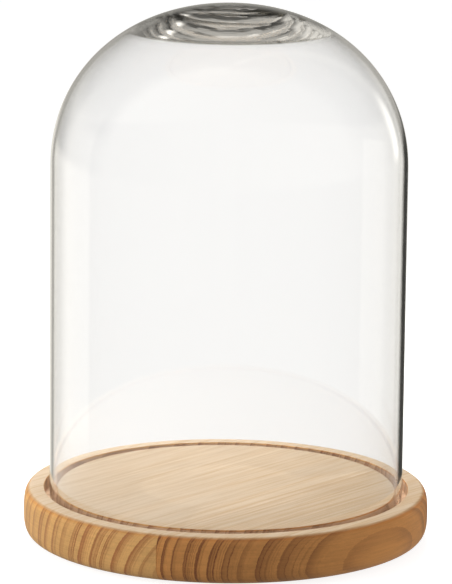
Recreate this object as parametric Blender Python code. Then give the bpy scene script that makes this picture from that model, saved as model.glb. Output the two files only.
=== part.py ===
"""Bell jar: a thick-crowned glass dome standing in the ring groove of a turned wooden base.

The base is glued up from two boards and stands on four felt pads. The dome lifts straight
up, along +Z. Lengths are in metres, and the origin is under the base's centre, on the floor.
"""

import math

import bmesh
import bpy
from mathutils import Matrix, Vector

# Driving dimensions.
GAP = 0.0003
OVERALL_HEIGHT = 0.305

BASE_RADIUS = 0.115
BASE_THICKNESS = 0.027
RIM_ROUNDING = 0.0056
FOOT_ROUNDING = 0.0105
EDGE_POWER = 3.2

PLATEAU_RADIUS = 0.0962
GROOVE_WIDTH = 0.0073
GROOVE_DEPTH = 0.007
EDGE_BREAK = 0.0005

GRAIN_ANGLE = math.radians(50.0)
GLUE_LINE_OFFSET = 0.041

PAD_RADIUS = 0.009
PAD_THICKNESS = 0.0015
PAD_EDGE = 0.0002
PAD_CIRCLE_RADIUS = 0.085
PAD_COUNT = 4

GLASS_RADIUS = 0.1004
WALL = 0.0018
SHOULDER_HEIGHT = 0.0915
SHOULDER_POWER = 2.1
CROWN_THICKNESS = 0.0095
CROWN_LENS_RADIUS = 0.0585
CROWN_LENS_POWER = 1.5

TURNED_STEPS = 72
EDGE_STEPS = 12
SHOULDER_STEPS = 22
RIM_STEPS = 6
PAD_STEPS = 24
SMOOTH_ANGLE = math.radians(35.0)

# Derived places.
BOARD_BOTTOM = PAD_THICKNESS + GAP
GROOVE_FLOOR = BOARD_BOTTOM + BASE_THICKNESS - GROOVE_DEPTH
DOME_BOTTOM = GROOVE_FLOOR + GAP
DOME_HEIGHT = OVERALL_HEIGHT - DOME_BOTTOM

WOOD_PALE = (0.62, 0.42, 0.23, 1.0)
WOOD_HONEY = (0.55, 0.34, 0.16, 1.0)
CLEAR_GLASS = (0.93, 0.96, 0.94, 1.0)
FELT_BROWN = (0.20, 0.13, 0.08, 1.0)


def clear_scene():
    """Remove every object that the file starts with."""
    for item in list(bpy.data.objects):
        bpy.data.objects.remove(item, do_unlink=True)


def finish(name, color, roughness, transmission=0.0):
    """Return a Principled material; none of the pieces is metal."""
    material = bpy.data.materials.new(name)
    material.use_nodes = True
    shader = material.node_tree.nodes["Principled BSDF"]
    shader.inputs["Base Color"].default_value = color
    shader.inputs["Metallic"].default_value = 0.0
    shader.inputs["Roughness"].default_value = roughness
    shader.inputs["Transmission Weight"].default_value = transmission
    return material


def signed_power(value, exponent):
    """Raise a value's size to an exponent and keep its sign."""
    return math.copysign(abs(value) ** exponent, value)


def turned_mesh(name, profile, steps):
    """Spin a profile of (radius, height) points about Z into one closed mesh."""
    shape = bmesh.new()
    points = [shape.verts.new((radius, 0.0, height)) for radius, height in profile]
    edges = [shape.edges.new(pair) for pair in zip(points, points[1:])]
    bmesh.ops.spin(
        shape,
        geom=points + edges,
        cent=(0.0, 0.0, 0.0),
        axis=(0.0, 0.0, 1.0),
        angle=2.0 * math.pi,
        steps=steps,
        use_merge=True,
    )
    bmesh.ops.remove_doubles(shape, verts=shape.verts, dist=1e-6)
    bmesh.ops.recalc_face_normals(shape, faces=shape.faces)
    mesh = bpy.data.meshes.new(name)
    shape.to_mesh(mesh)
    shape.free()
    mesh.shade_smooth()
    mesh.set_sharp_from_angle(angle=SMOOTH_ANGLE)
    return mesh


def add_object(name, mesh, location, material=None):
    """Link a mesh into the scene as a named object."""
    item = bpy.data.objects.new(name, mesh)
    item.location = location
    if material is not None:
        mesh.materials.append(material)
    bpy.context.scene.collection.objects.link(item)
    return item


def base_profile():
    """Outline of the turned base, from the plateau's centre over the edge to the underside."""
    top = BASE_THICKNESS
    floor = BASE_THICKNESS - GROOVE_DEPTH
    groove_outer = PLATEAU_RADIUS + GROOVE_WIDTH
    half = 0.5 * BASE_THICKNESS
    profile = [
        (0.0, top),
        (PLATEAU_RADIUS - EDGE_BREAK, top),
        (PLATEAU_RADIUS, top - EDGE_BREAK),
        (PLATEAU_RADIUS, floor),
        (groove_outer, floor),
        (groove_outer, top - EDGE_BREAK),
        (groove_outer + EDGE_BREAK, top),
    ]
    for step in range(EDGE_STEPS + 1):
        angle = math.pi * (0.5 - step / EDGE_STEPS)
        rounding = RIM_ROUNDING if angle > 0.0 else FOOT_ROUNDING
        inset = rounding * (1.0 - signed_power(math.cos(angle), 2.0 / EDGE_POWER))
        rise = signed_power(math.sin(angle), 2.0 / EDGE_POWER)
        profile.append((BASE_RADIUS - inset, half + half * rise))
    profile.append((0.0, 0.0))
    return profile


def crown_wall(radius):
    """Glass thickness at a radius: the wall, growing into a lens over the crown."""
    reach = 1.0 - (radius / CROWN_LENS_RADIUS) ** 2
    lens = max(0.0, reach) ** CROWN_LENS_POWER
    return WALL + (CROWN_THICKNESS - WALL) * lens


def shoulder_point(angle):
    """A point of the dome's outer arch and the arch's outward normal there."""
    across = abs(math.cos(angle)) ** (2.0 / SHOULDER_POWER)
    up = abs(math.sin(angle)) ** (2.0 / SHOULDER_POWER)
    spring = DOME_HEIGHT - SHOULDER_HEIGHT
    point = Vector((GLASS_RADIUS * across, spring + SHOULDER_HEIGHT * up))
    slope = SHOULDER_POWER - 1.0
    normal = Vector((across**slope / GLASS_RADIUS, up**slope / SHOULDER_HEIGHT))
    return point, normal.normalized()


def dome_profile():
    """Section of the glass: down the outside from the crown, round the rim, up the inside."""
    outside = []
    inside = []
    for step in range(SHOULDER_STEPS + 1):
        point, normal = shoulder_point(0.5 * math.pi * (1.0 - step / SHOULDER_STEPS))
        outside.append(point)
        inside.append(point - crown_wall(point.x) * normal)
    half = 0.5 * WALL
    rim = []
    for step in range(RIM_STEPS + 1):
        angle = -math.pi * step / RIM_STEPS
        rim.append((GLASS_RADIUS - half + half * math.cos(angle), half + half * math.sin(angle)))
    return [tuple(p) for p in outside] + rim + [tuple(p) for p in reversed(inside)]


def half_space(name, side):
    """Cutter that keeps one side of the glue line; side is +1 or -1 across the grain."""
    across = Vector((math.sin(GRAIN_ANGLE), -math.cos(GRAIN_ANGLE), 0.0))
    size = 4.0 * BASE_RADIUS
    face = GLUE_LINE_OFFSET + side * 0.5 * GAP
    shape = bmesh.new()
    bmesh.ops.create_cube(shape, size=size)
    mesh = bpy.data.meshes.new(name)
    shape.to_mesh(mesh)
    shape.free()
    cutter = bpy.data.objects.new(name, mesh)
    place = Matrix.Translation(across * (face + side * 0.5 * size))
    cutter.matrix_world = place @ Matrix.Rotation(GRAIN_ANGLE, 4, "Z")
    cutter.display_type = "WIRE"
    cutter.hide_render = True
    bpy.context.scene.collection.objects.link(cutter)
    return cutter


def add_board(name, side, material):
    """Cut one board of the base out of the turned disc."""
    mesh = turned_mesh(name, base_profile(), TURNED_STEPS)
    board = add_object(name, mesh, (0.0, 0.0, BOARD_BOTTOM), material)
    cut = board.modifiers.new("glue_line", "BOOLEAN")
    cut.operation = "INTERSECT"
    cut.solver = "EXACT"
    cut.object = half_space(name + "_cutter", side)
    return board


def add_pads(material):
    """Stand the base on felt pads, spread about the grain and clear of the glue line."""
    profile = [
        (0.0, PAD_THICKNESS),
        (PAD_RADIUS - PAD_EDGE, PAD_THICKNESS),
        (PAD_RADIUS, PAD_THICKNESS - PAD_EDGE),
        (PAD_RADIUS, PAD_EDGE),
        (PAD_RADIUS - PAD_EDGE, 0.0),
        (0.0, 0.0),
    ]
    mesh = turned_mesh("felt_pad", profile, PAD_STEPS)
    mesh.materials.append(material)
    for index in range(PAD_COUNT):
        angle = GRAIN_ANGLE + math.pi * (2 * index + 1) / PAD_COUNT
        place = Vector((math.cos(angle), math.sin(angle), 0.0)) * PAD_CIRCLE_RADIUS
        add_object(f"felt_pad_{index + 1}", mesh, place)


def main():
    """Build the dome, the two boards of the base and its pads."""
    clear_scene()
    add_board("base_board_wide", -1, finish("wide_board_wood", WOOD_PALE, 0.55))
    add_board("base_board_narrow", 1, finish("narrow_board_wood", WOOD_HONEY, 0.55))
    add_pads(finish("pad_felt", FELT_BROWN, 0.95))
    glass = finish("dome_glass", CLEAR_GLASS, 0.02, transmission=1.0)
    dome_mesh = turned_mesh("glass_dome", dome_profile(), TURNED_STEPS)
    add_object("glass_dome", dome_mesh, (0.0, 0.0, DOME_BOTTOM), glass)


main()
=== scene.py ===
"""Looks of a bell jar: a blown glass dome standing in the groove of a turned pine base.

The base is two glued boards on felt pads. The glass lifts off along +Z. Lengths are in metres, in the
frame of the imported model.
"""

import logging
import math
from collections.abc import Sequence
from dataclasses import dataclass, field
from enum import Enum

import bpy
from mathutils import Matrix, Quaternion, Vector


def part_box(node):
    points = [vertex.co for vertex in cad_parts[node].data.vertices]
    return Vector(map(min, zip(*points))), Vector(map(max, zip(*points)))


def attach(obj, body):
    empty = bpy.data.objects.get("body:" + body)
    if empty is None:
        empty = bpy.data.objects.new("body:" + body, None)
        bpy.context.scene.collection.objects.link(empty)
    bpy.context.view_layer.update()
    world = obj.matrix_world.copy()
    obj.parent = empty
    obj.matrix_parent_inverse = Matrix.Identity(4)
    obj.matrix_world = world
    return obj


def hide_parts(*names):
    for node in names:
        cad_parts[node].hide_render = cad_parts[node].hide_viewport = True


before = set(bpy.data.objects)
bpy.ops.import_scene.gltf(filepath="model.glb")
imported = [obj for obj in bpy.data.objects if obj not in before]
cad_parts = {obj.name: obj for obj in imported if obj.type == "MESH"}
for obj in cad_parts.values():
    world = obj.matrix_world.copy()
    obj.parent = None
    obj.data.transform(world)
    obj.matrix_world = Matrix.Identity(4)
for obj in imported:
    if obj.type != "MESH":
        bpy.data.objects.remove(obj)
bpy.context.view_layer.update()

LOG = logging.getLogger("bell_jar")

Color = tuple[float, float, float]
Point = tuple[float, float, float]
Span = tuple[float, float]
Stops = tuple[tuple[float, float], ...]
Settings = dict[str, object]
Inputs = dict[int | str, object]
Section = list[tuple[float, float]]


class Body(Enum):
    """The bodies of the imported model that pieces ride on."""

    BASE = "base"
    DOME = "dome"


class Slot(Enum):
    """The record's material slots."""

    WIDE_BOARD = "wood_wide_board"
    NARROW_BOARD = "wood_narrow_board"
    FELT = "felt"
    GLASS = "glass"


class Side(Enum):
    """The side of the glue line that a board keeps, across the grain."""

    WIDE = -1
    NARROW = 1


# ---------------------------------------------------------------------------------------------
# Shader maths
# ---------------------------------------------------------------------------------------------


class Value:
    """A number socket of a node tree; Python operators on it add Math nodes."""

    def __init__(self, graph: "Graph", socket: bpy.types.NodeSocket) -> None:
        """Keep the tree and the socket that carries the number."""
        self.graph = graph
        self.socket = socket

    def math(self, operation: str, *others: "Value | float") -> "Value":
        """Add one Math node, with this number as its first input.

        Args:
            operation: The node's operation.
            others: Its other inputs, in order.

        Returns:
            The node's result.
        """
        terms = dict(enumerate((self, *others)))
        return self.graph.number("ShaderNodeMath", {"operation": operation}, terms)

    def __add__(self, other: "Value | float") -> "Value":
        """Sum."""
        return self.math("ADD", other)

    __radd__ = __add__

    def __sub__(self, other: "Value | float") -> "Value":
        """Difference."""
        return self.math("SUBTRACT", other)

    def __rsub__(self, other: "Value | float") -> "Value":
        """Difference from a plain number."""
        return self.math("MULTIPLY_ADD", -1.0, other)

    def __mul__(self, other: "Value | float") -> "Value":
        """Product."""
        return self.math("MULTIPLY", other)

    __rmul__ = __mul__

    def __truediv__(self, other: "Value | float") -> "Value":
        """Quotient."""
        return self.math("DIVIDE", other)

    def __pow__(self, other: "Value | float") -> "Value":
        """Power."""
        return self.math("POWER", other)

    def __abs__(self) -> "Value":
        """Size without sign."""
        return self.math("ABSOLUTE")

    def whole(self) -> "Value":
        """The whole number below."""
        return self.math("FLOOR")

    def fraction(self) -> "Value":
        """What is left above the whole number below."""
        return self.math("FRACT")

    def step(self, low: "Value | float", high: "Value | float") -> "Value":
        """Rise smoothly from 0 at low to 1 at high.

        Args:
            low: Where the rise starts.
            high: Where the rise ends.

        Returns:
            A number from 0 to 1.
        """
        settings = {"interpolation_type": "SMOOTHSTEP", "clamp": True}
        return self.graph.number("ShaderNodeMapRange", settings, {0: self, 1: low, 2: high})


class Graph:
    """A node tree with one way to add any node; HIGHEST is the largest level that a ramp holds."""

    HIGHEST = 2.0

    def __init__(self, tree: bpy.types.NodeTree) -> None:
        """Keep the tree."""
        self.tree = tree

    def node(
        self, kind: str, settings: Settings | None = None, inputs: Inputs | None = None
    ) -> bpy.types.Node:
        """Add a node.

        Args:
            kind: The node's type.
            settings: Its properties, set first.
            inputs: Values or links of its sockets, by name or place.

        Returns:
            The new node.
        """
        made = self.tree.nodes.new(kind)
        for name, value in (settings or {}).items():
            setattr(made, name, value)
        for name, value in (inputs or {}).items():
            self.feed(made.inputs[name], value)
        return made

    def feed(self, target: bpy.types.NodeSocket, value: object) -> None:
        """Link a socket to a value's socket, or set its number.

        Args:
            target: The input socket.
            value: A Value, a socket, a number or a tuple.
        """
        if isinstance(value, Value):
            value = value.socket
        if isinstance(value, bpy.types.NodeSocket):
            self.tree.links.new(value, target)
        else:
            target.default_value = value

    def socket(
        self, kind: str, settings: Settings | None = None, inputs: Inputs | None = None, output: int | str = 0
    ) -> bpy.types.NodeSocket:
        """Add a node and return one of its outputs."""
        return self.node(kind, settings, inputs).outputs[output]

    def number(
        self, kind: str, settings: Settings | None = None, inputs: Inputs | None = None, output: int | str = 0
    ) -> Value:
        """Add a node and return one of its number outputs."""
        return Value(self, self.socket(kind, settings, inputs, output))

    def split(self, vector: bpy.types.NodeSocket) -> tuple[Value, Value, Value]:
        """Take a vector apart.

        Args:
            vector: The vector socket.

        Returns:
            Its x, y and z.
        """
        parts = self.node("ShaderNodeSeparateXYZ", inputs={0: vector})
        return tuple(Value(self, part) for part in parts.outputs)

    def join(self, x: Value | float, y: Value | float, z: Value | float) -> bpy.types.NodeSocket:
        """Make a vector of three numbers."""
        return self.socket("ShaderNodeCombineXYZ", inputs={0: x, 1: y, 2: z})

    def noise(
        self, where: bpy.types.NodeSocket, scale: float, detail: float = 2.0, rough: float = 0.5
    ) -> Value:
        """Soft noise about zero.

        Args:
            where: The point to read it at.
            scale: Its coarsest features per metre.
            detail: Octaves above the first.
            rough: Strength of each octave against the one before.

        Returns:
            A number from about -0.5 to 0.5.
        """
        inputs = {"Vector": where, "Scale": scale, "Detail": detail, "Roughness": rough}
        return self.number("ShaderNodeTexNoise", {"noise_dimensions": "3D"}, inputs) - 0.5

    def ramp(self, factor: Value, stops: Sequence[tuple[float, float]]) -> Value:
        """Look a number up between stops.

        Args:
            factor: Where to look, from 0 to 1.
            stops: Places and levels, in order.

        Returns:
            The level there.
        """
        curve = self.node("ShaderNodeFloatCurve", inputs={"Value": factor})
        line = curve.mapping.curves[0]
        for place, level in stops[1:-1]:
            line.points.new(place, level / self.HIGHEST)
        for point, (place, level) in zip((line.points[0], line.points[-1]), (stops[0], stops[-1])):
            point.location = (place, level / self.HIGHEST)
        for point in line.points:
            point.handle_type = "VECTOR"
        curve.mapping.update()
        return Value(self, curve.outputs[0]) * self.HIGHEST

    def chance(self, index: Value, seed: float) -> Value:
        """A fixed random number from 0 to 1 for each whole number."""
        return self.number("ShaderNodeTexWhiteNoise", {"noise_dimensions": "1D"}, {"W": index + seed})

    def blend(
        self, factor: Value | float, first: object, second: object, mode: str = "MIX"
    ) -> bpy.types.NodeSocket:
        """Mix two colours.

        Args:
            factor: Share of the second colour.
            first: Colour or colour socket.
            second: Colour or colour socket.
            mode: The Mix node's blend type.

        Returns:
            The mixed colour.
        """
        settings = {"data_type": "RGBA", "blend_type": mode, "clamp_factor": True}
        inputs = {0: factor, 6: opaque(first), 7: opaque(second)}
        return self.socket("ShaderNodeMix", settings, inputs, output=2)


def opaque(color: object) -> object:
    """Give a plain colour its alpha, and leave a socket as it is."""
    return (*color, 1.0) if isinstance(color, tuple) and len(color) == 3 else color


class Finish:
    """A material with one Principled shader, and the graph that feeds it."""

    def __init__(self, name: str) -> None:
        """Make the empty material."""
        self.material = bpy.data.materials.new(name)
        self.material.use_nodes = True
        self.graph = Graph(self.material.node_tree)
        self.shader = self.material.node_tree.nodes["Principled BSDF"]

    def place(self) -> bpy.types.NodeSocket:
        """The point of the surface, in the object's own frame."""
        return self.graph.socket("ShaderNodeTexCoord", output="Object")

    def facing(self) -> bpy.types.NodeSocket:
        """The way the surface faces, in the object's own frame."""
        return self.graph.socket("ShaderNodeTexCoord", output="Normal")

    def set(self, **inputs: object) -> None:
        """Set or link the shader's sockets; an underscore stands for a space in a name."""
        for name, value in inputs.items():
            self.graph.feed(self.shader.inputs[name.replace("_", " ")], opaque(value))

    def bump(self, height: Value, depth: float) -> None:
        """Raise the surface by a height from 0 to 1.

        Args:
            height: The height pattern.
            depth: What a height of 1 stands for, in metres.
        """
        inputs = {"Strength": 1.0, "Distance": depth, "Height": height}
        self.set(Normal=self.graph.socket("ShaderNodeBump", inputs=inputs))

    def dress(self, piece: bpy.types.Object) -> None:
        """Make this the piece's only material."""
        piece.data.materials.clear()
        piece.data.materials.append(self.material)


# ---------------------------------------------------------------------------------------------
# Finishes
# ---------------------------------------------------------------------------------------------


@dataclass(frozen=True)
class Grain:
    """The boards' common grain direction and their glue line."""

    angle: float = math.radians(50.0)
    glue_line: float = 0.041

    def along(self) -> Vector:
        """Unit vector along the grain."""
        return Vector((math.cos(self.angle), math.sin(self.angle), 0.0))

    def across(self) -> Vector:
        """Unit vector across the grain, from the wide board to the narrow one."""
        return Vector((math.sin(self.angle), -math.cos(self.angle), 0.0))


@dataclass(frozen=True)
class WoodPoint:
    """Where a point of a board lies, and how its surface faces there.

    The turn is the distance round the base, end is how far the surface is end grain, and up is how
    far it is one of the flat faces, both from 0 to 1.
    """

    place: bpy.types.NodeSocket
    z: Value
    along: Value
    across: Value
    reach: Value
    turn: Value
    end: Value
    facing_up: Value
    up: Value


@dataclass(frozen=True)
class PineFinish:
    """Pine through and through: rings about a pith line, fibres, turning marks and a glue line."""

    name: str
    pith: float
    pith_height: float
    ring_rate: float
    ring_power: float
    ring_start: float
    late_share: float
    seed: float
    side_early: Color
    side_late: Color
    top_grain_and_sheen_early: Color
    top_grain_and_sheen_late: Color
    # Painted light: the groove takes paler colours than the edge wood, standing in for light in the recess.
    lit_groove_early: Color = (0.66, 0.45, 0.29)
    lit_groove_late: Color = (0.38, 0.21, 0.13)
    lit_groove_wall: Span = (0.0002, 0.0009)
    lit_groove_drop: Span = (0.0012, 0.0004)
    rim_tint: Color = (0.84, 0.70, 0.54)
    rim_reach: Span = (0.003, 0.005)
    rim_top_shade: float = 0.08
    glue_tint: Color = (0.62, 0.45, 0.32)
    glue_width: Span = (0.00006, 0.00035)
    old_wood: Span = (0.050, 0.070)
    roughness: float = 0.52
    index: float = 1.46
    relief: float = 0.00006
    grain: Grain = Grain()

    def build(self, base: "TurnedBase") -> Finish:
        """Make the material.

        Args:
            base: The turned base that the boards belong to.

        Returns:
            The finish, ready to dress a board.
        """
        finish = Finish(self.name)
        graph = finish.graph
        at = self.locate(finish)
        late, ring_tone = self.rings(graph, at)
        fibre = graph.noise(graph.join(at.along * 0.035, at.across, at.z), 900.0, 3.0, 0.6)
        streak = graph.noise(graph.join(at.along * 0.02, at.across, at.z), 260.0, 2.0, 0.5)
        speck = graph.noise(at.place, 1400.0, 2.0, 0.6)
        tone = graph.noise(at.place, 14.0, 1.0)
        tool = graph.noise(graph.join(at.turn * 0.03, at.z, at.reach), 1500.0, 2.0, 0.6)
        gouge = graph.noise(graph.join(at.turn * 0.05, at.z, at.reach), 420.0, 1.0, 0.5)

        shade = 1.0 + tone * 0.24 + fibre * 0.24 + speck * 0.16
        # Ring and streak contrast is lower on the flat faces, partly as face grain and partly as painted
        # sheen.
        shade = shade + (streak * 0.24 + ring_tone * 0.12) * (1.0 - at.up * 0.7)
        shade = shade + (tool * 0.34 + gouge * 0.16) * (1.0 - at.up)
        wood = self.scale(graph, self.bare_wood(graph, at, late, base), shade)
        wood = self.shade_rim(graph, at, wood, base)
        glue = 1.0 - abs(at.across - self.grain.glue_line).step(*self.glue_width)
        wood = graph.blend(glue * 0.55, wood, self.glue_tint, "MULTIPLY")
        roughness = self.roughness - late * 0.08 + fibre * 0.10 + at.end * 0.05
        finish.set(Base_Color=wood, Roughness=roughness, IOR=self.index)
        height = 0.5 + late * 0.25 + fibre * 0.5 + tool * (1.0 - at.up) * 0.7 + speck * 0.2
        finish.bump(height, self.relief)
        return finish

    def locate(self, finish: Finish) -> WoodPoint:
        """Work out where a point of the board lies against the grain and the turning.

        Args:
            finish: The board's finish.

        Returns:
            The point.
        """
        graph = finish.graph
        place = finish.place()
        x, y, z = graph.split(place)
        way, over = self.grain.along(), self.grain.across()
        facing_x, facing_y, facing_up = graph.split(finish.facing())
        reach = (x * x + y * y) ** 0.5
        return WoodPoint(
            place=place,
            z=z,
            along=x * way.x + y * way.y,
            across=x * over.x + y * over.y,
            reach=reach,
            turn=x.math("ARCTAN2", y) * reach,
            end=abs(facing_x * way.x + facing_y * way.y),
            facing_up=facing_up,
            up=facing_up.step(0.55, 0.97),
        )

    def bare_wood(
        self, graph: Graph, at: WoodPoint, late: Value, base: "TurnedBase"
    ) -> bpy.types.NodeSocket:
        """The wood's colour on the edge, on the flat faces and inside the groove, with painted light: the
        flat faces are paler, partly as face grain and partly as painted sheen, and the groove is painted
        paler.

        Args:
            graph: The material's graph.
            at: The point of the board.
            late: How dark the latewood is.
            base: The turned base.

        Returns:
            The colour, before shading.
        """
        side = graph.blend(late * (0.55 + at.end * 0.55), self.side_early, self.side_late)
        thread = graph.noise(graph.join(at.along * 0.022, at.across, at.z), 480.0, 3.0, 0.75)
        # Flat faces: paler, less saturated colours, partly the paler face grain and partly painted sheen and
        # light.
        flat = graph.blend(late * 0.40 + thread * 3.6 + 0.24, self.top_grain_and_sheen_early, self.top_grain_and_sheen_late)
        wood = graph.blend(at.up, side, flat)
        # Painted light: inside the groove the wood is painted paler, for light in the recess.
        near, far = self.lit_groove_wall
        groove = at.reach.step(base.plateau - far, base.plateau - near)
        groove = groove * (1.0 - at.reach.step(base.outer + near, base.outer + far))
        groove = groove * (1.0 - at.z.step(base.top - self.lit_groove_drop[0], base.top - self.lit_groove_drop[1]))
        return graph.blend(groove, wood, graph.blend(late, self.lit_groove_early, self.lit_groove_late))

    def shade_rim(
        self, graph: Graph, at: WoodPoint, wood: bpy.types.NodeSocket, base: "TurnedBase"
    ) -> bpy.types.NodeSocket:
        """Darken the rim outside the groove a little, and its rounded shoulder more.

        Args:
            graph: The material's graph.
            at: The point of the board.
            wood: The colour so far.
            base: The turned base.

        Returns:
            The colour with the rim shaded.
        """
        outside = at.reach.step(base.outer, base.outer + 0.001)
        wood = self.scale(graph, wood, 1.0 - at.up * outside * self.rim_top_shade)
        rim = at.facing_up.step(0.35, 0.70) * (1.0 - at.facing_up.step(0.88, 0.99))
        rim = rim * at.reach.step(base.outer + self.rim_reach[0], base.outer + self.rim_reach[1])
        return graph.blend(rim * 0.9, wood, self.rim_tint, "MULTIPLY")

    def rings(self, graph: Graph, at: WoodPoint) -> tuple[Value, Value]:
        """The growth rings.

        Args:
            graph: The material's graph.
            at: The point of the board.

        Returns:
            How dark the latewood is, from 0 to 1, and a tone of each ring.
        """
        along, across, z = at.along, at.across, at.z
        off = across - self.pith
        rise = z - self.pith_height
        distance = (off * off + rise * rise) ** 0.5
        wander = graph.noise(graph.join(along * 0.25 + self.seed, across, z), 22.0, 1.0) * 0.0026
        ripple = graph.noise(graph.join(along, across, z), 260.0, 2.0) * 0.00070
        ragged = graph.noise(graph.join(along * 0.3, across, z), 1500.0, 1.0) * 0.00050
        width = graph.noise(graph.join(distance, self.seed, 0.0), 60.0, 1.0) * 0.0030
        settled = (distance + wander + ripple + ragged + width) * 10.0
        count = settled**self.ring_power * self.ring_rate + self.ring_start
        index = count.whole()
        part = count.fraction()
        pick = graph.chance(index, self.seed)
        other = graph.chance(index, self.seed + 31.7)
        bark = 1.0 - part.step(0.955, 0.998)
        start = 0.86 - self.late_share * (0.55 + 0.9 * pick)
        band = part.step(start, 0.92) * (0.36 + 0.44 * other)
        line = part.step(0.80, 0.93) * (0.05 + 0.20 * pick) * at.end
        fine = graph.join(distance + ripple + ragged * 1.4, self.seed, along * 0.01)
        lines = graph.noise(fine, 1150.0, 2.0, 0.6).step(-0.02, 0.16)
        lines = lines * part.step(start - 0.25, start + 0.10) * (0.50 + 0.40 * pick)
        lines = lines * (0.2 + 0.8 * at.end)
        faded = 0.45 + 0.55 * distance.step(*self.old_wood)
        return (band + line + lines) * bark * faded, other - 0.5

    @staticmethod
    def scale(graph: Graph, color: bpy.types.NodeSocket, by: Value) -> bpy.types.NodeSocket:
        """Multiply a colour by a number."""
        return graph.socket("ShaderNodeVectorMath", {"operation": "SCALE"}, {0: color, "Scale": by})


@dataclass(frozen=True)
class GlassFinish:
    """Clear soda glass with flow lines where the crown was gathered, and painted reflection that makes it
    darker towards grazing view: a dark edge, a dark brow round the crown and dark flow lines.

    A span called facing is where a painted dark reflection sets in, from 0 straight on to 1 at grazing view.
    """

    name: str = "blown_glass"
    index: float = 1.5
    tint: Color = (0.999, 0.998, 0.994)
    # Painted reflection: the dark colour of the brow and the flow lines, and of the bubble.
    painted_reflection_and_bubble: Color = (0.020, 0.018, 0.013)
    # Painted reflection: edge is the dark colour painted on the glass towards grazing view.
    edge: Color = (0.012, 0.016, 0.010)
    painted_edge_facing: Span = (0.80, 0.95)
    painted_edge_share: float = 0.97
    brow_facing: Span = (0.70, 0.86)
    brow_reach: float = 0.86
    brow_share: float = 0.97
    flow_reach: Span = (0.55, 0.95)
    flow_drop: Span = (0.034, 0.022)
    flow_depth: float = 0.00014
    swirl: float = 0.012
    cord_facing: Span = (0.35, 0.60)
    cord_inner: Span = (0.008, 0.014)
    cord_outer: Span = (0.036, 0.044)
    cord_share: float = 0.94
    bubble: Point = (0.0264, -0.0480, 0.2917)
    bubble_square: Span = (4e-7, 4e-6)
    bubble_share: float = 0.7

    def build(self, crown: float, reach: float) -> Finish:
        """Make the material.

        Args:
            crown: Height of the dome's top.
            reach: Radius of the thick crown.

        Returns:
            The finish, ready to dress the dome.
        """
        finish = Finish(self.name)
        graph = finish.graph
        x, y, z = graph.split(finish.place())
        radius = (x * x + y * y) ** 0.5
        grazing = graph.number("ShaderNodeLayerWeight", inputs={"Blend": 0.5}, output="Facing")
        near = 1.0 - radius.step(reach * self.flow_reach[0], reach * self.flow_reach[1])
        near = near * z.step(crown - self.flow_drop[0], crown - self.flow_drop[1])
        swirl = graph.noise(graph.join(x, y, z), 32.0, 1.0)
        centred = radius + swirl * self.swirl
        flow = graph.noise(graph.join(centred, y * 0.08 + 0.3, x * 0.08), 170.0, 1.0, 0.5)
        # The flow lines are real cords in the glass; their dark colour, shown only at a slant, is painted
        # reflection.
        cord = self.cords(flow, centred) * grazing.step(*self.cord_facing)
        # Painted reflection: the brow of the crown is painted dark towards grazing view.
        brow = grazing.step(*self.brow_facing) * (1.0 - radius.step(reach * self.brow_reach, reach))
        painted_reflection_and_bubble = brow * self.brow_share + near * cord * self.cord_share
        painted_reflection_and_bubble = painted_reflection_and_bubble + self.seed_bubble(x, y, z) * self.bubble_share
        glass = graph.blend(painted_reflection_and_bubble, self.tint, self.painted_reflection_and_bubble)
        # Painted reflection: the glass is painted dark towards grazing view.
        rim = grazing.step(*self.painted_edge_facing) * self.painted_edge_share
        glass = graph.blend(rim, glass, self.edge)
        finish.bump(0.5 + flow * near, self.flow_depth)
        finish.set(Base_Color=glass, Roughness=0.0, IOR=self.index, Transmission_Weight=1.0)
        return finish

    def cords(self, flow: Value, centred: Value) -> Value:
        """The flow lines, which lie in a ring about the crown's middle; the glass has them, and their
        darkness is painted reflection.

        Args:
            flow: The flow pattern, about zero.
            centred: Distance from the swirled middle.

        Returns:
            A number from 0 to 1.
        """
        ring = centred.step(*self.cord_inner) * (1.0 - centred.step(*self.cord_outer))
        return (flow + 0.02).step(0.0, 0.12) * ring

    def seed_bubble(self, x: Value, y: Value, z: Value) -> Value:
        """A single small bubble below the crown.

        Args:
            x: Place to the side.
            y: Place in depth.
            z: Height.

        Returns:
            A number that is 1 at the bubble's middle and 0 outside it.
        """
        gaps = (x - self.bubble[0], y - self.bubble[1], z - self.bubble[2])
        square = gaps[0] * gaps[0] + gaps[1] * gaps[1] + gaps[2] * gaps[2]
        return 1.0 - square.step(*self.bubble_square)


@dataclass(frozen=True)
class FeltFinish:
    """Pressed wool felt: matted fibres in two browns."""

    name: str = "pressed_felt"
    dark: Color = (0.070, 0.045, 0.030)
    light: Color = (0.17, 0.115, 0.075)

    def build(self) -> Finish:
        """Make the material.

        Returns:
            The finish, ready to dress a pad.
        """
        finish = Finish(self.name)
        graph = finish.graph
        place = finish.place()
        x, y, z = graph.split(place)
        matted = graph.noise(place, 900.0, 4.0, 0.7)
        strands = graph.noise(graph.join(x + matted * 0.002, y * 0.25, z), 2600.0, 3.0, 0.7)
        mask = (0.5 + matted + strands * 0.8).step(0.2, 0.85)
        finish.set(Base_Color=graph.blend(mask, self.dark, self.light), Roughness=0.95)
        finish.shader.inputs["Sheen Weight"].default_value = 0.35
        finish.bump(0.5 + matted * 0.6 + strands * 0.4, 0.0004)
        return finish


# ---------------------------------------------------------------------------------------------
# Workshop
# ---------------------------------------------------------------------------------------------


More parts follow.
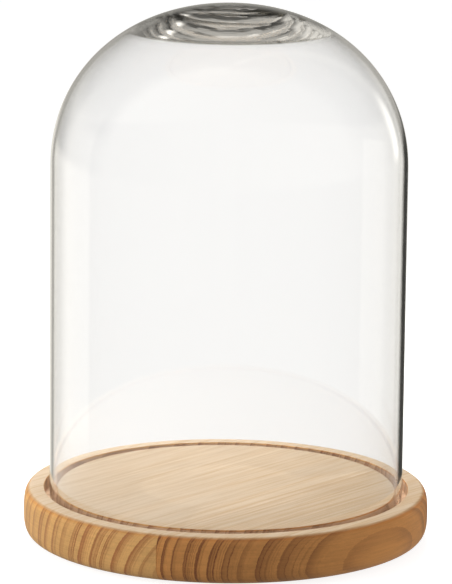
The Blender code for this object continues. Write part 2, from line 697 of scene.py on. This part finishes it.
class Workshop:
    """Modelling steps that several pieces share."""

    @staticmethod
    def clear_selection() -> None:
        """Leave nothing selected, so that an operator acts on the new piece alone."""
        bpy.ops.object.select_all(action="DESELECT")

    @staticmethod
    def pick(piece: bpy.types.Object) -> None:
        """Select one piece alone, and make it the active one."""
        Workshop.clear_selection()
        piece.select_set(True)
        bpy.context.view_layer.objects.active = piece

    @staticmethod
    def edit(piece: bpy.types.Object) -> None:
        """Open a piece alone in edit mode, with all of it selected."""
        Workshop.pick(piece)
        bpy.ops.object.mode_set(mode="EDIT")
        bpy.ops.mesh.select_mode(type="VERT")
        bpy.ops.mesh.select_all(action="SELECT")

    @staticmethod
    def close() -> None:
        """Go back to object mode."""
        bpy.ops.object.mode_set(mode="OBJECT")

    @staticmethod
    def turn(name: str, section: Sequence[tuple[float, float]], steps: int) -> bpy.types.Object:
        """Draw a section by extruding a point, then spin it about the upright axis.

        Args:
            name: The piece's name.
            section: Points of (radius, height), in order.
            steps: Steps of the spin.

        Returns:
            The turned piece, with its doubles merged and its faces outwards.
        """
        Workshop.clear_selection()
        bpy.ops.mesh.primitive_plane_add(size=0.001, location=(0.0, 0.0, 0.0))
        piece = bpy.context.object
        piece.name = name
        piece.data.name = name
        Workshop.edit(piece)
        bpy.ops.mesh.merge(type="CENTER")
        bpy.ops.transform.translate(value=(section[0][0], 0.0, section[0][1]))
        for start, end in zip(section, section[1:]):
            move = (end[0] - start[0], 0.0, end[1] - start[1])
            bpy.ops.mesh.extrude_region_move(TRANSFORM_OT_translate={"value": move})
        bpy.ops.mesh.select_all(action="SELECT")
        bpy.ops.mesh.spin(steps=steps, angle=2.0 * math.pi, center=(0.0, 0.0, 0.0), axis=(0.0, 0.0, 1.0))
        bpy.ops.mesh.select_all(action="SELECT")
        bpy.ops.mesh.remove_doubles(threshold=0.00001)
        bpy.ops.mesh.normals_make_consistent(inside=False)
        Workshop.close()
        return piece

    @staticmethod
    def copy(piece: bpy.types.Object, name: str) -> bpy.types.Object:
        """Copy a piece with its own mesh.

        Args:
            piece: The piece to copy.
            name: The copy's name.

        Returns:
            The copy.
        """
        Workshop.pick(piece)
        bpy.ops.object.duplicate(linked=False)
        made = bpy.context.object
        made.name = name
        made.data.name = name
        return made

    @staticmethod
    def round_edges(piece: bpy.types.Object, degrees: float, width: float, segments: int) -> None:
        """Bevel the sharp edges of a piece, and leave it in edit mode.

        Args:
            piece: The piece.
            degrees: Edges that turn more than this are sharp.
            width: Width of the bevel.
            segments: Faces across the bevel.
        """
        Workshop.edit(piece)
        bpy.ops.mesh.select_mode(type="EDGE")
        bpy.ops.mesh.select_all(action="DESELECT")
        bpy.ops.mesh.edges_select_sharp(sharpness=math.radians(degrees))
        bpy.ops.mesh.bevel(offset=width, segments=segments, profile=0.5, affect="EDGES")

    @staticmethod
    def smooth(piece: bpy.types.Object, degrees: float) -> None:
        """Shade a piece smooth but for its sharper edges."""
        Workshop.pick(piece)
        bpy.ops.object.shade_smooth_by_angle(angle=math.radians(degrees))

    @staticmethod
    def displace(piece: bpy.types.Object, depth: float, size: float) -> None:
        """Move a piece's surface in and out by a soft cloud, and keep the result.

        Args:
            piece: The piece.
            depth: Full range of the move.
            size: Size of the clouds.
        """
        cloud = bpy.data.textures.new(piece.name + "_cloud", "CLOUDS")
        cloud.noise_scale = size
        Workshop.pick(piece)
        bpy.ops.object.modifier_add(type="DISPLACE")
        made = piece.modifiers[-1]
        made.texture = cloud
        made.texture_coords = "LOCAL"
        made.strength = depth
        made.mid_level = 0.5
        bpy.ops.object.modifier_apply(modifier=made.name)


# ---------------------------------------------------------------------------------------------
# Sub-assemblies
# ---------------------------------------------------------------------------------------------


@dataclass
class TurnedBase:
    """The turned base: a barrel-edged disc with a ring groove, sawn from two glued boards."""

    grain: Grain = field(default_factory=Grain)
    plateau: float = 0.0962
    groove_width: float = 0.0073
    groove_depth: float = 0.007
    arris: float = 0.0006
    rim_rounding: float = 0.0056
    foot_rounding: float = 0.0105
    edge_power: float = 3.2
    edge_steps: int = 36
    turn_steps: int = 256
    seam: float = 0.00003
    sharp: float = 40.0
    smooth: float = 35.0

    def __post_init__(self) -> None:
        """Read the base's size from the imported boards."""
        wide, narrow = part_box("base_board_wide"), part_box("base_board_narrow")
        self.bottom = min(wide[0].z, narrow[0].z)
        self.top = max(wide[1].z, narrow[1].z)
        self.radius = -wide[0].x
        self.outer = self.plateau + self.groove_width

    def section(self) -> Section:
        """The turned section, from the middle of the top over the edge to the middle below.

        Returns:
            Points of (radius, height), in order.
        """
        floor = self.top - self.groove_depth
        half = 0.5 * (self.top - self.bottom)
        section = [(0.0, self.top), (0.5 * self.plateau, self.top), (self.plateau, self.top)]
        section += [(self.plateau, floor), (self.outer, floor), (self.outer, self.top)]
        for step in range(self.edge_steps + 1):
            angle = math.pi * (0.5 - step / self.edge_steps)
            rounding = self.rim_rounding if angle > 0.0 else self.foot_rounding
            level = abs(math.sin(angle)) ** (2.0 / self.edge_power)
            inset = rounding * (1.0 - abs(math.cos(angle)) ** (2.0 / self.edge_power))
            middle = self.bottom + half
            section.append((self.radius - inset, middle + math.copysign(half * level, angle)))
        section.append((0.0, self.bottom))
        return section

    def build(self) -> list[bpy.types.Object]:
        """Turn the disc, soften its edges, and saw it into the two boards.

        Returns:
            The wide and the narrow board.
        """
        disc = Workshop.turn("turned_disc", self.section(), self.turn_steps)
        self.soften(disc)
        boards = [
            self.saw(disc, "pine_board_wide", Side.WIDE),
            self.saw(disc, "pine_board_narrow", Side.NARROW),
        ]
        bpy.data.objects.remove(disc, do_unlink=True)
        self.dress(boards)
        return boards

    def soften(self, disc: bpy.types.Object) -> None:
        """Break the sharp edges of the groove."""
        Workshop.round_edges(disc, self.sharp, self.arris, 4)
        Workshop.close()

    def saw(self, disc: bpy.types.Object, name: str, side: Side) -> bpy.types.Object:
        """Keep one side of the glue line.

        Args:
            disc: The whole disc.
            name: The board's name.
            side: The side to keep.

        Returns:
            The board, closed along the glue line.
        """
        board = Workshop.copy(disc, name)
        across = self.grain.across()
        place = across * (self.grain.glue_line + side.value * 0.5 * self.seam)
        Workshop.edit(board)
        bpy.ops.mesh.bisect(
            plane_co=place,
            plane_no=across,
            use_fill=True,
            clear_inner=side is Side.NARROW,
            clear_outer=side is Side.WIDE,
        )
        Workshop.close()
        Workshop.smooth(board, self.smooth)
        return board

    def dress(self, boards: list[bpy.types.Object]) -> None:
        """Give both boards their pine, and put them on the base.

        Args:
            boards: The wide and the narrow board.
        """
        wide, narrow = boards
        pale = PineFinish(
            name="pine_wide",
            pith=0.085,
            pith_height=-0.0145,
            ring_rate=12.66,
            ring_power=1.0,
            ring_start=0.57,
            late_share=0.46,
            seed=3.1,
            side_early=(0.66, 0.362, 0.125),
            side_late=(0.36, 0.140, 0.042),
            top_grain_and_sheen_early=(0.595, 0.467, 0.332),
            top_grain_and_sheen_late=(0.49, 0.335, 0.190),
            grain=self.grain,
        )
        honey = PineFinish(
            name="pine_narrow",
            pith=0.166,
            pith_height=0.0,
            ring_rate=9.62,
            ring_power=1.7,
            ring_start=0.31,
            late_share=0.60,
            seed=8.4,
            side_early=(0.60, 0.262, 0.074),
            side_late=(0.165, 0.048, 0.011),
            top_grain_and_sheen_early=(0.58, 0.450, 0.314),
            top_grain_and_sheen_late=(0.48, 0.322, 0.178),
            grain=self.grain,
        )
        pale.build(self).dress(wide)
        honey.build(self).dress(narrow)
        for board, node, slot in (
            (wide, "base_board_wide", Slot.WIDE_BOARD),
            (narrow, "base_board_narrow", Slot.NARROW_BOARD),
        ):
            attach(board, Body.BASE.value)
            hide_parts(node)


@dataclass
class BellGlass:
    """The blown dome: a thin wall that gathers into a thick lens at the crown."""

    wall: float = 0.0018
    shoulder_height: float = 0.0915
    shoulder_power: float = 2.1
    crown: float = 0.0095
    lens_radius: float = 0.0585
    lens_power: float = 1.5
    shoulder_steps: int = 80
    rim_steps: int = 10
    turn_steps: int = 256
    wall_levels: int = 6
    supports: tuple[float, ...] = (0.0003, 0.0012, 0.004)
    smooth: float = 60.0

    def __post_init__(self) -> None:
        """Read the dome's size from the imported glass."""
        low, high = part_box("glass_dome")
        self.bottom = low.z
        self.top = high.z
        self.radius = high.x

    def thickness(self, radius: float) -> float:
        """Glass thickness at a radius of the crown."""
        lens = max(0.0, 1.0 - (radius / self.lens_radius) ** 2) ** self.lens_power
        return self.wall + (self.crown - self.wall) * lens

    def arch(self, angle: float) -> tuple[Vector, Vector]:
        """A point of the outer shoulder.

        Args:
            angle: Angle above the spring line.

        Returns:
            The point and the outward normal, as (radius, height).
        """
        across = abs(math.cos(angle)) ** (2.0 / self.shoulder_power)
        rise = abs(math.sin(angle)) ** (2.0 / self.shoulder_power)
        spring = self.top - self.shoulder_height
        slope = self.shoulder_power - 1.0
        normal = Vector((across**slope / self.radius, rise**slope / self.shoulder_height))
        return Vector((self.radius * across, spring + self.shoulder_height * rise)), normal.normalized()

    def section(self) -> Section:
        """The glass in section: down the outside, round the rim and up the inside.

        The supports are extra levels close to both ends of the straight wall. They keep the smooth
        shading of the curved ends from reaching along it and bending what is seen through the glass.

        Returns:
            Points of (radius, height), in order.
        """
        outside, inside = [], []
        for step in range(self.shoulder_steps + 1):
            point, normal = self.arch(0.5 * math.pi * (1.0 - step / self.shoulder_steps))
            outside.append(tuple(point))
            inside.append(tuple(point - self.thickness(point.x) * normal))
        half = 0.5 * self.wall
        spring = outside[-1][1]
        foot = self.bottom + half
        levels = [spring + (foot - spring) * step / self.wall_levels for step in range(1, self.wall_levels)]
        levels = [spring - drop for drop in self.supports] + levels
        levels += [foot + drop for drop in reversed(self.supports)]
        outside += [(self.radius, level) for level in levels]
        inside += [(self.radius - self.wall, level) for level in levels]
        rim = []
        for step in range(self.rim_steps + 1):
            angle = -math.pi * step / self.rim_steps
            rim.append((self.radius - half + half * math.cos(angle), foot + half * math.sin(angle)))
        return outside + rim + inside[::-1]

    def build(self) -> bpy.types.Object:
        """Blow the dome.

        Returns:
            The dome, riding on its body.
        """
        dome = Workshop.turn("blown_dome", self.section(), self.turn_steps)
        Workshop.smooth(dome, self.smooth)
        GlassFinish().build(self.top, self.lens_radius).dress(dome)
        dome.visible_shadow = False
        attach(dome, Body.DOME.value)
        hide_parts("glass_dome")
        return dome


@dataclass
class FeltPads:
    """Four felt pads under the base."""

    names: tuple[str, ...] = ("felt_pad_1", "felt_pad_2", "felt_pad_3", "felt_pad_4")
    points: int = 48
    edge: float = 0.00035
    sharp: float = 60.0
    smooth: float = 50.0
    insets: tuple[float, ...] = (0.0015, 0.0025, 0.0025)
    fuzz: float = 0.00012
    fuzz_size: float = 0.0012

    def build(self) -> list[bpy.types.Object]:
        """Cut a pad at each place.

        Returns:
            The pads.
        """
        finish = FeltFinish().build()
        pads = []
        for index, node in enumerate(self.names, start=1):
            low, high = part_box(node)
            pad = self.cut(f"soft_pad_{index}", low, high)
            finish.dress(pad)
            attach(pad, Body.BASE.value)
            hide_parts(node)
            pads.append(pad)
        return pads

    def cut(self, name: str, low: Vector, high: Vector) -> bpy.types.Object:
        """Cut a round pad and roll its edges.

        Args:
            name: The pad's name.
            low: Lowest corner of its place.
            high: Highest corner of its place.

        Returns:
            The pad.
        """
        size = high - low
        Workshop.clear_selection()
        bpy.ops.mesh.primitive_cylinder_add(
            vertices=self.points, radius=0.5 * size.x, depth=size.z, location=0.5 * (low + high)
        )
        pad = bpy.context.object
        pad.name = name
        pad.data.name = name
        bpy.ops.object.transform_apply(location=True, rotation=True, scale=True)
        Workshop.round_edges(pad, self.sharp, self.edge, 3)
        bpy.ops.mesh.select_mode(type="FACE")
        bpy.ops.mesh.select_all(action="DESELECT")
        bpy.ops.mesh.select_face_by_sides(number=self.points, type="EQUAL", extend=False)
        for width in self.insets:
            bpy.ops.mesh.inset(thickness=width)
        Workshop.close()
        Workshop.displace(pad, self.fuzz, self.fuzz_size)
        Workshop.smooth(pad, self.smooth)
        return pad


# ---------------------------------------------------------------------------------------------
# Studio
# ---------------------------------------------------------------------------------------------


@dataclass(frozen=True)
class SoftBox:
    """A large soft lamp."""

    name: str
    place: Point
    size: tuple[float, float]
    power: float

    def hang(self, target: Vector) -> bpy.types.Object:
        """Hang the lamp and point it.

        Args:
            target: The point it shines at.

        Returns:
            The lamp.
        """
        Workshop.clear_selection()
        bpy.ops.object.light_add(type="AREA", location=self.place)
        lamp = bpy.context.object
        lamp.name = self.name
        lamp.data.shape = "RECTANGLE"
        lamp.data.size, lamp.data.size_y = self.size
        lamp.data.energy = self.power
        lamp.rotation_mode = "QUATERNION"
        lamp.rotation_quaternion = (target - lamp.location).to_track_quat("-Z", "Y")
        lamp.visible_camera = False
        lamp.visible_glossy = False
        lamp.visible_transmission = False
        return lamp


@dataclass
class Studio:
    """Camera, pale floor and soft studio light.

    The surroundings are white to the camera. Clear glass needs something to mirror, so a mirrored
    ray finds dark and bright stretches: ring holds them below eye level and overhead above it, as
    (bearing in degrees, brightness), with 0 at the back and 90 at the right. Straight through the
    glass it is white, and the wood is lit by soft, even surroundings.
    """

    camera_place: Point = (-0.0011, -2.379, 0.6486)
    camera_pitch: float = 12.03
    camera_roll: float = 0.63
    lens: float = 265.65
    sensor: float = 36.0
    view_end: float = 100.0
    lamp_target: Point = (0.0, 0.0, 0.05)
    floor_radius: float = 30.0
    floor_points: int = 96
    floor_color: Color = (0.40, 0.40, 0.40)
    floor_glow: float = 0.85
    glass_bounces: int = 48
    white: Color = (1.0, 1.0, 1.0)
    warm_white: Color = (1.0, 0.965, 0.885)
    zenith: Span = (0.45, 0.95)
    zenith_drop: float = 0.60
    eye_level: Span = (-0.13, -0.05)
    steep_sight: Span = (-0.37, -0.30)
    steep_level: float = 0.60
    overhead_fade: Span = (0.10, 0.32)
    overhead_drop: float = 0.85
    overhead_back: Span = (-0.1, 0.2)
    window_left: Span = (-79.5, -78.0)
    window_right: Span = (-56.0, -44.0)
    window_foot: Span = (-0.252, -0.236)
    window_head: Span = (0.10, 0.60)
    window_level: float = 0.42
    wood_light: float = 0.31
    ring: Stops = (
        (-180.0, 0.62),
        (-120.0, 0.95),
        (-44.0, 1.00),
        (-28.0, 0.95),
        (-24.0, 0.40),
        (-19.0, 0.40),
        (-15.0, 1.00),
        (7.0, 1.00),
        (10.0, 0.05),
        (26.0, 0.05),
        (34.0, 0.60),
        (50.0, 0.40),
        (75.0, 0.18),
        (110.0, 0.18),
        (180.0, 0.62),
    )
    overhead: Stops = (
        (-180.0, 0.68),
        (-95.0, 0.88),
        (-76.0, 0.55),
        (-60.0, 0.48),
        (-40.0, 0.38),
        (-20.0, 0.44),
        (20.0, 0.46),
        (36.0, 0.30),
        (42.0, 1.95),
        (50.0, 0.24),
        (76.0, 0.18),
        (95.0, 0.40),
        (180.0, 0.68),
    )
    lamps: tuple[SoftBox, ...] = (
        SoftBox("key_left", (-1.08, -0.36, 0.31), (0.8, 0.8), 9.9),
        SoftBox("top_back", (-0.10, 0.34, 0.56), (0.5, 0.4), 6.7),
        SoftBox("fill_right", (1.2, -0.20, 0.13), (0.8, 0.8), 6.9),
    )

    def build(self) -> None:
        """Set up the camera, the floor, the lamps and the surroundings."""
        self.set_camera()
        self.lay_floor()
        for lamp in self.lamps:
            lamp.hang(Vector(self.lamp_target))
        self.surround()
        scene = bpy.context.scene
        scene.view_settings.view_transform = "Standard"
        scene.cycles.max_bounces = self.glass_bounces
        scene.cycles.transmission_bounces = self.glass_bounces
        scene.cycles.glossy_bounces = self.glass_bounces

    def set_camera(self) -> None:
        """Place the camera in front, a little above, with its slight roll."""
        tilt = (math.radians(90.0 - self.camera_pitch), 0.0, 0.0)
        Workshop.clear_selection()
        bpy.ops.object.camera_add(location=self.camera_place, rotation=tilt)
        camera = bpy.context.object
        camera.name = "studio_camera"
        camera.rotation_mode = "QUATERNION"
        roll = Quaternion((0.0, 0.0, 1.0), math.radians(self.camera_roll))
        camera.rotation_quaternion = camera.rotation_euler.to_quaternion() @ roll
        camera.data.lens = self.lens
        camera.data.sensor_width = self.sensor
        camera.data.sensor_fit = "AUTO"
        camera.data.clip_end = self.view_end
        bpy.context.scene.camera = camera

    def lay_floor(self) -> None:
        """Lay a round pale floor that looks as white as the surroundings."""
        Workshop.clear_selection()
        bpy.ops.mesh.primitive_circle_add(
            vertices=self.floor_points, radius=self.floor_radius, fill_type="NGON", location=(0.0, 0.0, 0.0)
        )
        floor = bpy.context.object
        floor.name = "studio_floor"
        finish = Finish("pale_floor")
        finish.set(Base_Color=self.floor_color, Roughness=0.9)
        finish.set(Emission_Color=self.white, Emission_Strength=self.floor_glow)
        finish.dress(floor)
        floor.visible_diffuse = False
        floor.visible_glossy = False
        floor.visible_transmission = False

    def surround(self) -> None:
        """Light the surroundings by where a ray goes and by what it has met on its way."""
        world = bpy.data.worlds.new("studio_surroundings")
        world.use_nodes = True
        bpy.context.scene.world = world
        graph = Graph(world.node_tree)
        x, y, z = graph.split(graph.socket("ShaderNodeTexCoord", output="Generated"))
        path = graph.node("ShaderNodeLightPath")
        seen = Value(graph, path.outputs["Is Camera Ray"])
        through = Value(graph, path.outputs["Is Transmission Ray"])
        mirrored = Value(graph, path.outputs["Is Glossy Ray"])
        bounced = Value(graph, path.outputs["Glossy Depth"]).step(0.2, 0.8)
        scattered = Value(graph, path.outputs["Diffuse Depth"]).step(0.2, 0.8)

        straight = through * (1.0 - bounced)
        behind = 1.0 - z.step(*self.zenith) * self.zenith_drop
        studio = straight * behind + (1.0 - straight) * self.around(graph, x, y, z)
        soft = self.wood_light - x * 0.04 + z * 0.10
        clear = (through + mirrored).math("MINIMUM", 1.0) * (1.0 - scattered)
        bright = clear * studio + (1.0 - clear) * soft
        tint = graph.blend(clear * (1.0 - straight), self.white, self.warm_white)
        background = graph.tree.nodes["Background"]
        graph.feed(background.inputs["Strength"], seen + (1.0 - seen) * bright)
        graph.feed(background.inputs["Color"], tint)

    def around(self, graph: Graph, x: Value, y: Value, z: Value) -> Value:
        """What a mirrored ray finds: the ring, the overhead light and a tall window at the left.

        Args:
            graph: The surroundings' graph.
            x: The ray's direction to the side.
            y: Its direction in depth.
            z: Its direction up.

        Returns:
            The brightness.
        """
        bearing = x.math("ARCTAN2", y) * (180.0 / math.pi)
        steep = 1.0 - z.step(*self.steep_sight)
        beside = self.by_bearing(graph, bearing, self.ring)
        beside = beside * (1.0 - steep) + self.steep_level * steep
        above = self.by_bearing(graph, bearing, self.overhead)
        fade = z.step(*self.overhead_fade) * self.overhead_drop * y.step(*self.overhead_back)
        lift = z.step(*self.eye_level)
        window = bearing.step(*self.window_left) * (1.0 - bearing.step(*self.window_right))
        window = window * z.step(*self.window_foot) * (1.0 - z.step(*self.window_head))
        above = above * (1.0 - fade)
        return beside * (1.0 - lift) + above * lift + window * self.window_level

    @staticmethod
    def by_bearing(graph: Graph, bearing: Value, stops: Stops) -> Value:
        """Look a brightness up by a bearing in degrees."""
        places = [((at + 180.0) / 360.0, level) for at, level in stops]
        return graph.ramp((bearing + 180.0) / 360.0, places)


def main() -> None:
    """Build every sub-assembly in order and report its pieces."""
    logging.basicConfig(level=logging.INFO, format="%(name)s: %(message)s")
    studio = Studio()
    studio.build()
    pieces = [*TurnedBase().build(), *FeltPads().build(), BellGlass().build()]
    for piece in pieces:
        LOG.info("%s: %d faces", piece.name, len(piece.data.polygons))


if __name__ == "__main__":
    main()
